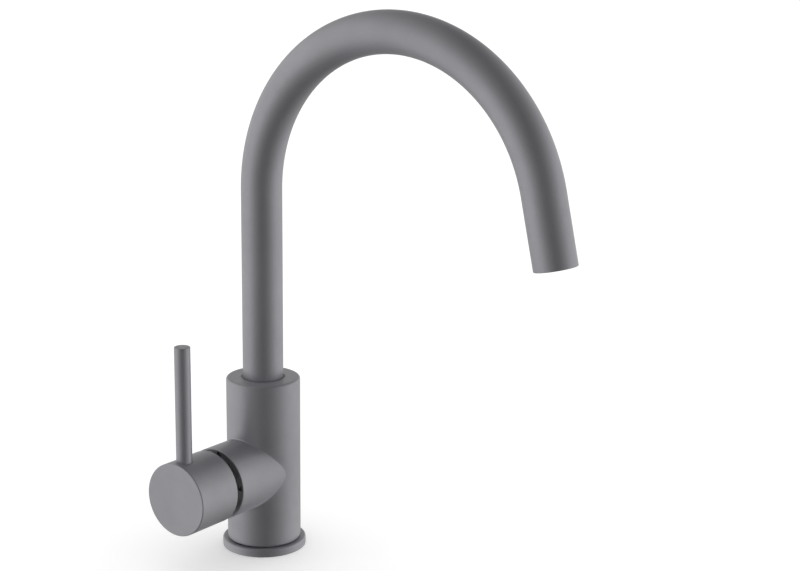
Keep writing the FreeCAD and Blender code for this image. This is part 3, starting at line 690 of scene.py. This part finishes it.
# %% Column: sizes from the frame
column_low, column_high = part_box("body_casting")
COLUMN_RADIUS = column_high.y
COLUMN_TOP = column_high.z
BOSS_FRONT = -column_low.x
knob_low, knob_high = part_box("lever_knob")
LEVER_HEIGHT = (knob_low.z + knob_high.z) / 2
KEEPER_HEIGHT = sum(corner.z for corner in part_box("spout_keeper_screw")) / 2
BOSS_RADIUS = 21.5 * MM
BOSS_EDGE = 0.4 * MM
CORNER_ROUNDING = 0.8 * MM
FOOT_EDGE = 0.7 * MM
TOP_EDGE = 1.5 * MM
MOUTH_RADIUS = 20.3 * MM
MOUTH_FLOOR = BOSS_FRONT - 3.0 * MM
THREAD_RADIUS = 18.9 * MM
SHOULDER = BOSS_FRONT - 7.0 * MM
BORE_RADIUS = 17.6 * MM
BORE_FLOOR = BOSS_FRONT - 17.5 * MM
SPIGOT_RADIUS = 18.2 * MM
GUIDE_RADIUS = 13.1 * MM
GUIDE_FLOOR = COLUMN_TOP - 7.2 * MM
SOCKET_RADIUS = 12.5 * MM
SOCKET_FLOOR = COLUMN_TOP - 41.4 * MM
KEEPER_HOLE = 2.55 * MM
KEEPER_FLOOR = SOCKET_RADIUS + 1.2 * MM
HOLE_LIP = 0.25 * MM
print("column radius", round(COLUMN_RADIUS / MM, 2), "top", round(COLUMN_TOP / MM, 2))

# %% [markdown]
# Each window needs a row of the wall at its low and its high side, so the rows are spaced in
# spans between them. The keeper screw's hole gets a floor just short of the socket, which keeps
# the casting one closed skin.

# %% Column: wall, boss and top
BOSS_FRAME = 23.7 * MM


def even_rows(*spans):
    """Heights of a wall's rows, from spans given as (low, high, how many rows)."""
    rows = []
    for low, high, count in spans:
        rows += [low + (high - low) * step / count for step in range(count)]
    return rows + [spans[-1][1]]


def past_wall(corners):
    """Outline that goes on from a wall, whose first two points are on the wall already."""
    return softened(corners)[2:]


boss_low, boss_high = LEVER_HEIGHT - BOSS_FRAME, LEVER_HEIGHT + BOSS_FRAME
keeper_high = 2 * KEEPER_HEIGHT - boss_high
wall_foot, wall_top = RING_TOP + FOOT_EDGE, COLUMN_TOP - TOP_EDGE
column_rows = even_rows((wall_foot, boss_low, 7), (boss_low, boss_high, 16),
                        (boss_high, keeper_high, 4), (keeper_high, wall_top, 7))
boss_mouth = softened([
    (BOSS_RADIUS, MOUTH_FLOOR, 0.0),
    (BOSS_RADIUS, BOSS_FRONT, BOSS_EDGE),
    (MOUTH_RADIUS, BOSS_FRONT, FINE_EDGE),
    (MOUTH_RADIUS, MOUTH_FLOOR, 0.0),
    (THREAD_RADIUS, MOUTH_FLOOR, 0.0),
    (THREAD_RADIUS, SHOULDER, 0.0),
    (BORE_RADIUS, SHOULDER, 0.0),
    (BORE_RADIUS, BORE_FLOOR, 0.0),
    (0.0, BORE_FLOOR, 0.0),
])
column_windows = [
    {"angle": math.pi, "height": LEVER_HEIGHT, "low": boss_low, "high": boss_high,
     "half_columns": 40, "radius": BOSS_RADIUS, "rounding": CORNER_ROUNDING, "side": 1,
     "steps": 14, "ends": boss_mouth},
    {"angle": math.pi / 2, "height": KEEPER_HEIGHT, "low": boss_high, "high": keeper_high,
     "half_columns": 5, "radius": KEEPER_HOLE, "rounding": HOLE_LIP, "side": -1,
     "steps": 4, "ends": [(KEEPER_HOLE, KEEPER_FLOOR), (0.0, KEEPER_FLOOR)]},
]
column = Skin()
foot_ring, top_ring = windowed_wall(column, COLUMN_RADIUS, column_rows, column_windows)
follow(column, top_ring, past_wall([
    (COLUMN_RADIUS, wall_top - MM, 0.0),
    (COLUMN_RADIUS, COLUMN_TOP, TOP_EDGE),
    (GUIDE_RADIUS, COLUMN_TOP, FINE_EDGE),
    (GUIDE_RADIUS, GUIDE_FLOOR, 0.0),
    (SOCKET_RADIUS, GUIDE_FLOOR, 0.0),
    (SOCKET_RADIUS, SOCKET_FLOOR, 0.0),
    (0.0, SOCKET_FLOOR, 0.0),
]))
print("column so far:", len(column.faces), "faces")

# %% [markdown]
# The underside has the two inlets and the hole for the fixing stud. It is flat, so its faces
# can be any triangles between the rim and the three holes.

# %% Column: underside
INLET_RADIUS = 4.5 * MM
INLET_DEPTH = 12.0 * MM
INLET_FORWARD = 5.0 * MM
INLET_SPREAD = 7.5 * MM
STUD_RADIUS = 3.4 * MM
STUD_DEPTH = 15.0 * MM
STUD_BACK = 10.0 * MM
HOLE_COLUMNS = 48
underside = [
    (Vector((-INLET_FORWARD, -INLET_SPREAD, 0.0)), INLET_RADIUS, INLET_DEPTH),
    (Vector((-INLET_FORWARD, INLET_SPREAD, 0.0)), INLET_RADIUS, INLET_DEPTH),
    (Vector((STUD_BACK, 0.0, 0.0)), STUD_RADIUS, STUD_DEPTH),
]
rim = follow(column, foot_ring, [
    (COLUMN_RADIUS - FOOT_EDGE, RING_TOP),
    (SPIGOT_RADIUS, RING_TOP),
    (SPIGOT_RADIUS, 0.0),
])
rims = [rim]
for centre, radius, depth in underside:
    mouth = column.ring([centre + point for point in around(radius, 0.0, HOLE_COLUMNS)])
    end = column.grow(mouth, [centre + point for point in around(radius, depth, HOLE_COLUMNS)])
    column.pole(end, centre + Vector((0.0, 0.0, depth)))
    rims.append(mouth)
flat = bmesh.new()
edges = []
for loop in rims:
    corners = [flat.verts.new(column.points[index]) for index in loop]
    edges += [flat.edges.new(pair) for pair in zip(corners, corners[1:] + corners[:1])]
filled = bmesh.ops.triangle_fill(flat, edges=edges, use_beauty=True)
lookup = {tuple(column.points[index]): index for loop in rims for index in loop}
for face in [item for item in filled["geom"] if isinstance(item, bmesh.types.BMFace)]:
    column.faces.append(tuple(lookup[tuple(corner.co)] for corner in face.verts))
flat.free()
column_piece = column.piece("column_with_boss")
dress(column_piece, "tap_body", "grey_coating", "body_casting")

# %% [markdown]
# ## Trees of geometry nodes
#
# The neck and the outlet's face follow rules, and geometry nodes are made for that. Each tree
# has a named input for every size. A modifier knows an input only by its socket's identifier,
# so the first helper gives those too. The second one sets them, adds the finishing modifiers
# and takes the result over as a plain mesh.


# %% Helpers for geometry node trees
def new_tree(name, inputs):
    """Geometry node tree with a geometry output and a named input for each size."""
    tree = bpy.data.node_groups.new(name, "GeometryNodeTree")
    sockets = {}
    for label in inputs:
        socket = tree.interface.new_socket(label, in_out="INPUT", socket_type="NodeSocketFloat")
        sockets[label] = socket.identifier
    tree.interface.new_socket("Geometry", in_out="OUTPUT", socket_type="NodeSocketGeometry")
    return tree, add_node(tree, "NodeGroupInput").outputs, sockets


def from_tree(name, tree, sockets, sizes, finish):
    """Plain mesh object made by a tree and finishing modifiers, given as (kind, settings)."""
    maker = bpy.data.objects.new(name + "_maker", bpy.data.meshes.new(name + "_maker"))
    scene.collection.objects.link(maker)
    nodes_modifier = maker.modifiers.new("maker", "NODES")
    nodes_modifier.node_group = tree
    for label, size in sizes.items():
        nodes_modifier[sockets[label]] = size
    for kind, settings in finish:
        modifier = maker.modifiers.new(kind.lower(), kind)
        for key, setting in settings.items():
            setattr(modifier, key, setting)
    evaluated = maker.evaluated_get(bpy.context.evaluated_depsgraph_get())
    mesh = bpy.data.meshes.new_from_object(evaluated)
    bpy.data.objects.remove(maker)
    mesh.name = name
    item = bpy.data.objects.new(name, mesh)
    scene.collection.objects.link(item)
    print(name, len(mesh.polygons), "faces")
    return item


# %% [markdown]
# ## The swan neck
#
# The neck is a tube that rises, bends through nearly half a circle and ends in a short straight
# tail. A bent curve with a round bevel could draw it, but the shape follows a rule, so a
# node tree makes it: the distance along the tube gives the rise, the turn and the tail run of
# each point, and a circle is swept along them.

# %% Swan neck: node tree
tube_low, tube_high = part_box("spout_tube")
NECK_SIZES = {
    "Foot": tube_low.z,
    "Rise": 218.8 * MM - tube_low.z,
    "Bend radius": 98.0 * MM,
    "Bend angle": math.radians(167.1),
    "Tail": 39.3 * MM,
    "Tube radius": tube_high.x,
}
NECK_POINTS = 220
NECK_SIDES = 88

tree, size, neck_sockets = new_tree("swan_neck_tree", NECK_SIZES)
bend_length = calc(tree, "MULTIPLY", size["Bend radius"], size["Bend angle"])
full_length = calc(tree, "ADD", calc(tree, "ADD", size["Rise"], bend_length), size["Tail"])
line = add_node(tree, "GeometryNodeCurvePrimitiveLine")
line = add_node(tree, "GeometryNodeResampleCurve", Curve=line.outputs[0], Count=NECK_POINTS)
along = add_node(tree, "GeometryNodeSplineParameter").outputs["Factor"]
travelled = calc(tree, "MULTIPLY", along, full_length)
rise = calc(tree, "MINIMUM", travelled, size["Rise"])
bent = calc(tree, "MAXIMUM", calc(tree, "SUBTRACT", travelled, size["Rise"]), 0.0)
turn = calc(tree, "MINIMUM", calc(tree, "DIVIDE", bent, size["Bend radius"]), size["Bend angle"])
sine, cosine = calc(tree, "SINE", turn), calc(tree, "COSINE", turn)
run_out = calc(tree, "MAXIMUM", calc(tree, "SUBTRACT", bent, bend_length), 0.0)
forward = calc(tree, "MULTIPLY", size["Bend radius"], calc(tree, "SUBTRACT", cosine, 1.0))
forward = calc(tree, "SUBTRACT", forward, calc(tree, "MULTIPLY", run_out, sine))
upward = calc(tree, "ADD", size["Foot"], rise)
upward = calc(tree, "ADD", upward, calc(tree, "MULTIPLY", size["Bend radius"], sine))
upward = calc(tree, "ADD", upward, calc(tree, "MULTIPLY", run_out, cosine))
spot = add_node(tree, "ShaderNodeCombineXYZ", Y=forward, Z=upward)
line = add_node(tree, "GeometryNodeSetPosition",
                Geometry=line.outputs[0], Position=spot.outputs[0])
circle = add_node(tree, "GeometryNodeCurvePrimitiveCircle",
                  Resolution=NECK_SIDES, Radius=size["Tube radius"])
tube = add_node(tree, "GeometryNodeCurveToMesh",
                Curve=line.outputs[0], Profile_Curve=circle.outputs[0])
tube = add_node(tree, "GeometryNodeRealizeInstances", Geometry=tube.outputs[0])
tube = add_node(tree, "GeometryNodeSetMaterial", Geometry=tube.outputs[0], Material=grey_coating)
add_node(tree, "NodeGroupOutput", Geometry=tube.outputs[0])
print(tree.name, "has", len(tree.nodes), "nodes")

# %% [markdown]
# The tree gives a sheet without thickness. Three modifiers add the wall, soften the rims and
# even the shading.

# %% Swan neck: make it
TUBE_WALL = 1.5 * MM
RIM_EDGE = 0.3 * MM
neck = from_tree("swan_neck", tree, neck_sockets, NECK_SIZES, [
    ("SOLIDIFY", {"thickness": TUBE_WALL, "offset": -1.0, "use_rim": True}),
    ("BEVEL", {"width": RIM_EDGE, "segments": 3, "limit_method": "ANGLE",
               "angle_limit": math.radians(60)}),
    ("WEIGHTED_NORMAL", {"keep_sharp": True}),
])
neck.data.polygons.foreach_set("use_smooth", [True] * len(neck.data.polygons))
dress(neck, "spout", "grey_coating", "spout_tube")

# %% [markdown]
# ## The knob
#
# The knob is as wide as the boss and hollow behind, with a smooth bare face. Its wall has a
# window on top for the pin and one below for the clamping screw. The hollow ends in a
# dome that passes over the cartridge's cap, and a square socket takes the stem.

# %% Knob: sizes from the frame
KNOB_RADIUS = (knob_high.z - knob_low.z) / 2
KNOB_BACK = -knob_high.x
KNOB_FACE = -knob_low.x
PIVOT = -sum(corner.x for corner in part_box("pivot_pin")) / 2
rod_low, rod_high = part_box("lever_rod")
ROD_PLACE = -(rod_low.x + rod_high.x) / 2
ROD_RADIUS = (rod_high.x - rod_low.x) / 2
GRUB_PLACE = -sum(corner.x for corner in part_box("grub_screw")) / 2
KNOB_EDGE = 0.6 * MM
KNOB_BORE = 19.2 * MM
KNOB_STEP = PIVOT + 4.0 * MM
DOME_RADIUS = 14.0 * MM
STEM_HALF = 3.55 * MM
STEM_END = KNOB_FACE - 3.5 * MM
ROD_HOLE = ROD_RADIUS + 0.05 * MM
ROD_FLOOR = KNOB_RADIUS - 1.25 * MM
ROD_FRAME = 5.6 * MM
GRUB_HOLE = 2.55 * MM
GRUB_FRAME = 3.6 * MM
OUT_OF_BOSS = Matrix(((0, 0, -1, 0), (0, 1, 0, 0), (1, 0, 0, LEVER_HEIGHT), (0, 0, 0, 1)))
print("knob in mm off the column's axis:", round(KNOB_BACK / MM, 2), round(KNOB_FACE / MM, 2))

# %% [markdown]
# The wall is made like the column's, lying along the boss. The pin stands in a shallow seat
# whose floor its thread goes through, and the screw's hole ends at the socket.

# %% Knob: wall and face
wall_back, wall_face = KNOB_BACK + KNOB_EDGE, KNOB_FACE - KNOB_EDGE
rod_window_low, rod_window_high = ROD_PLACE - ROD_FRAME, ROD_PLACE + ROD_FRAME
grub_window_low, grub_window_high = GRUB_PLACE - GRUB_FRAME, GRUB_PLACE + GRUB_FRAME
knob_rows = even_rows((wall_back, rod_window_low, 5), (rod_window_low, grub_window_low, 2),
                      (grub_window_low, grub_window_high, 4),
                      (grub_window_high, rod_window_high, 1), (rod_window_high, wall_face, 1))
knob_windows = [
    {"angle": 0.0, "height": ROD_PLACE, "low": rod_window_low, "high": rod_window_high,
     "half_columns": 8, "radius": ROD_HOLE, "rounding": HOLE_LIP, "side": -1, "steps": 2,
     "ends": [(ROD_HOLE, ROD_FLOOR), (0.0, ROD_FLOOR)]},
    {"angle": math.pi, "height": GRUB_PLACE, "low": grub_window_low, "high": grub_window_high,
     "half_columns": 5, "radius": GRUB_HOLE, "rounding": HOLE_LIP, "side": -1, "steps": 4,
     "ends": [(GRUB_HOLE, STEM_HALF), (0.0, STEM_HALF)]},
]
knob = Skin()
back_ring, face_ring = windowed_wall(knob, KNOB_RADIUS, knob_rows, knob_windows)
follow(knob, face_ring, past_wall([
    (KNOB_RADIUS, wall_face - MM, 0.0),
    (KNOB_RADIUS, KNOB_FACE, KNOB_EDGE),
    (0.0, KNOB_FACE, 0.0),
]))
print("knob so far:", len(knob.faces), "faces")

# %% [markdown]
# When the lever tilts, the knob passes over the cap. So the knob's hollow and the cap are both
# domes about the pivot, and one helper gives the arc of each.

# %% Knob: hollow and socket
DOME_STEPS = 12


def dome_arc(radius, start_height, end_radius):
    """Corners on a sphere about the pivot, from a height to a radius."""
    start = math.asin((start_height - PIVOT) / radius)
    end = math.acos(end_radius / radius)
    arc = []
    for step in range(DOME_STEPS + 1):
        angle = start + (end - start) * step / DOME_STEPS
        arc.append((radius * math.cos(angle), PIVOT + radius * math.sin(angle), 0.0))
    return arc


def square_ring(half, height):
    """Ring on the outline of a square, with as many points as a wall has columns."""
    points = []
    for point in around(half, height):
        points.append(Vector((point.x, point.y, 0.0)) * (half / max(abs(point.x), abs(point.y))))
        points[-1].z = height
    return points


dome = [corner[:2] for corner in dome_arc(DOME_RADIUS, KNOB_STEP, STEM_HALF * math.sqrt(2.0))]
inside = follow(knob, back_ring, past_wall([
    (KNOB_RADIUS, wall_back + MM, 0.0),
    (KNOB_RADIUS, KNOB_BACK, KNOB_EDGE),
    (KNOB_BORE, KNOB_BACK, FINE_EDGE),
    (KNOB_BORE, KNOB_STEP, 0.0),
    (dome[0][0], KNOB_STEP, 0.0),
]) + dome)
socket_mouth = knob.grow(inside, square_ring(STEM_HALF, dome[-1][1]))
socket_end = knob.grow(socket_mouth, square_ring(STEM_HALF, STEM_END))
knob.pole(socket_end, Vector((0.0, 0.0, STEM_END)))
knob_piece = knob.piece("knob", OUT_OF_BOSS)
dress(knob_piece, "lever", "grey_coating", "lever_knob")

# %% [markdown]
# ## The pin lever
#
# The upright pin is a plain rod with a soft upper edge, screwed into the knob's top. Two
# cylinders with a bevel would do, but the lathe helper draws the thread, the seat and the rod
# from one outline, as they are turned from one bar.

# %% Pin lever
ROD_SEAT = LEVER_HEIGHT + KNOB_RADIUS - 1.2 * MM
ROD_THREAD = 2.5 * MM
ROD_EDGE = 0.4 * MM
rod = turned_piece("pin_lever", [
    (0.0, rod_low.z, 0.0),
    (ROD_THREAD, rod_low.z, FINE_EDGE),
    (ROD_THREAD, ROD_SEAT, 0.0),
    (ROD_RADIUS, ROD_SEAT, FINE_EDGE),
    (ROD_RADIUS, rod_high.z, ROD_EDGE),
    (0.0, rod_high.z, 0.0),
], closed=False, place=Matrix.Translation((-ROD_PLACE, 0.0, 0.0)))
dress(rod, "lever", "grey_coating", "lever_rod")

# %% [markdown]
# ## The cap over the cartridge
#
# Behind the knob a thin cap hides the cartridge. It shows only as the shadowy ring between boss
# and knob, and its darker grey coating is partly painted shade that deepens that ring. Its dome
# is round about the lever's pivot, so the knob clears it. A sheet with a solidify modifier could
# make it, but a closed outline, with an outer and an inner dome, gives its rims their true shape.

# %% Cartridge cap
_, cap_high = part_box("cartridge_cover")
CAP_RADIUS = cap_high.y
CAP_FOOT = -cap_high.x
CAP_WALL = 0.9 * MM
CAP_EDGE = 0.3 * MM
CAP_SHOULDER = BOSS_FRONT + 6.35 * MM
CAP_DOME = DOME_RADIUS - 0.5 * MM
CAP_MOUTH = 9.2 * MM

# The cap wears the darker coating, which is partly painted shade for the gap.
cap = turned_piece("cartridge_cap", [
    (CAP_RADIUS - CAP_WALL, CAP_FOOT, 0.0),
    (CAP_RADIUS, CAP_FOOT, 0.0),
    (CAP_RADIUS, CAP_SHOULDER, CAP_EDGE),
    *dome_arc(CAP_DOME, CAP_SHOULDER, CAP_MOUTH),
    *reversed(dome_arc(CAP_DOME - CAP_WALL, CAP_SHOULDER - CAP_WALL, CAP_MOUTH)),
    (CAP_RADIUS - CAP_WALL, CAP_SHOULDER - CAP_WALL, 0.0),
], closed=True, place=OUT_OF_BOSS, material=painted_shade_cap_coating)
dress(cap, "tap_body", "dark_cap", "cartridge_cover")

# %% [markdown]
# ## The face of the aerator
#
# Seen from below, the outlet ends in a honeycomb that evens the stream. Its cells stand on a
# regular grid where every second row is shifted by half a cell. That is a rule, so a node tree
# lays out the points, drops those too near the rim, and cuts a six-sided cell at each point.

# %% Aerator face: node tree
HONEYCOMB_SIZES = {
    "Disc radius": 8.35 * MM,
    "Disc height": 5.6 * MM,
    "Cell pitch": 2.1 * MM,
    "Cell radius": 1.04 * MM,
}
HONEYCOMB_ROWS = 9
DISC_SIDES = 120
CELL_SIDES = 6
CELL_TURN = (0.0, 0.0, math.radians(30))
CELL_REACH = 1.25
CUT_DEPTH = 1.5

tree, size, honeycomb_sockets = new_tree("honeycomb_tree", HONEYCOMB_SIZES)
row_step = calc(tree, "MULTIPLY", size["Cell pitch"], math.sqrt(3.0) / 2)
grid = add_node(tree, "GeometryNodeMeshGrid",
                Vertices_X=HONEYCOMB_ROWS, Vertices_Y=HONEYCOMB_ROWS,
                Size_X=calc(tree, "MULTIPLY", size["Cell pitch"], HONEYCOMB_ROWS - 1.0),
                Size_Y=calc(tree, "MULTIPLY", row_step, HONEYCOMB_ROWS - 1.0))
where = add_node(tree, "GeometryNodeInputPosition")
where = add_node(tree, "ShaderNodeSeparateXYZ", _0=where.outputs[0])
row = calc(tree, "ROUND", calc(tree, "DIVIDE", where.outputs["Y"], row_step))
odd = calc(tree, "MODULO", calc(tree, "ABSOLUTE", row), 2.0)
shift = calc(tree, "MULTIPLY", calc(tree, "MULTIPLY", odd, 0.5), size["Cell pitch"])
shift = add_node(tree, "ShaderNodeCombineXYZ", X=shift)
points = add_node(tree, "GeometryNodeSetPosition",
                  Geometry=grid.outputs[0], Offset=shift.outputs[0])
moved = add_node(tree, "GeometryNodeInputPosition")
reach = add_node(tree, "ShaderNodeVectorMath", {"operation": "LENGTH"}, _0=moved.outputs[0])
limit = calc(tree, "SUBTRACT", size["Disc radius"],
             calc(tree, "MULTIPLY", size["Cell radius"], CELL_REACH))
outside = add_node(tree, "FunctionNodeCompare", {"data_type": "FLOAT", "operation": "GREATER_THAN"},
                   _0=reach.outputs["Value"], _1=limit)
points = add_node(tree, "GeometryNodeDeleteGeometry",
                  Geometry=points.outputs[0], Selection=outside.outputs[0])
cell = add_node(tree, "GeometryNodeMeshCylinder",
                Vertices=CELL_SIDES, Radius=size["Cell radius"],
                Depth=calc(tree, "MULTIPLY", size["Disc height"], CUT_DEPTH))
cells = add_node(tree, "GeometryNodeInstanceOnPoints",
                 Points=points.outputs[0], Instance=cell.outputs[0], Rotation=CELL_TURN)
cells = add_node(tree, "GeometryNodeRealizeInstances", Geometry=cells.outputs[0])
disc = add_node(tree, "GeometryNodeMeshCylinder",
                Vertices=DISC_SIDES, Radius=size["Disc radius"], Depth=size["Disc height"])
face = add_node(tree, "GeometryNodeMeshBoolean", {"operation": "DIFFERENCE"},
                Mesh_1=disc.outputs[0], Mesh_2=cells.outputs[0])
face = add_node(tree, "GeometryNodeRealizeInstances", Geometry=face.outputs[0])
face = add_node(tree, "GeometryNodeSetMaterial",
                Geometry=face.outputs[0], Material=slot_materials["grey_plastic"])
add_node(tree, "NodeGroupOutput", Geometry=face.outputs[0])
print(tree.name, "has", len(tree.nodes), "nodes")

# %% [markdown]
# The face is made flat at the origin and then moved into the end of the neck, whose place
# follows from the neck's own sizes.

# %% Aerator face: make it and set it in the outlet
FACE_DEPTH = 2.6 * MM
CELL_EDGE = 0.06 * MM
honeycomb = from_tree("aerator_face", tree, honeycomb_sockets, HONEYCOMB_SIZES, [
    ("BEVEL", {"width": CELL_EDGE, "segments": 2, "limit_method": "ANGLE",
               "angle_limit": math.radians(50)}),
    ("WEIGHTED_NORMAL", {"keep_sharp": True}),
])
foot, straight, bend_radius, bend, tail, _ = NECK_SIZES.values()
outlet = Vector((0.0, bend_radius * (math.cos(bend) - 1.0) - tail * math.sin(bend),
                 foot + straight + bend_radius * math.sin(bend) + tail * math.cos(bend)))
middle = Matrix.Translation((0.0, 0.0, -FACE_DEPTH - HONEYCOMB_SIZES["Disc height"] / 2))
honeycomb.data.transform(Matrix.Translation(outlet) @ Matrix.Rotation(bend, 4, "X") @ middle)
dress(honeycomb, "spout", "grey_plastic", "aerator_core")
print("outlet in mm:", [round(number / MM, 1) for number in outlet])
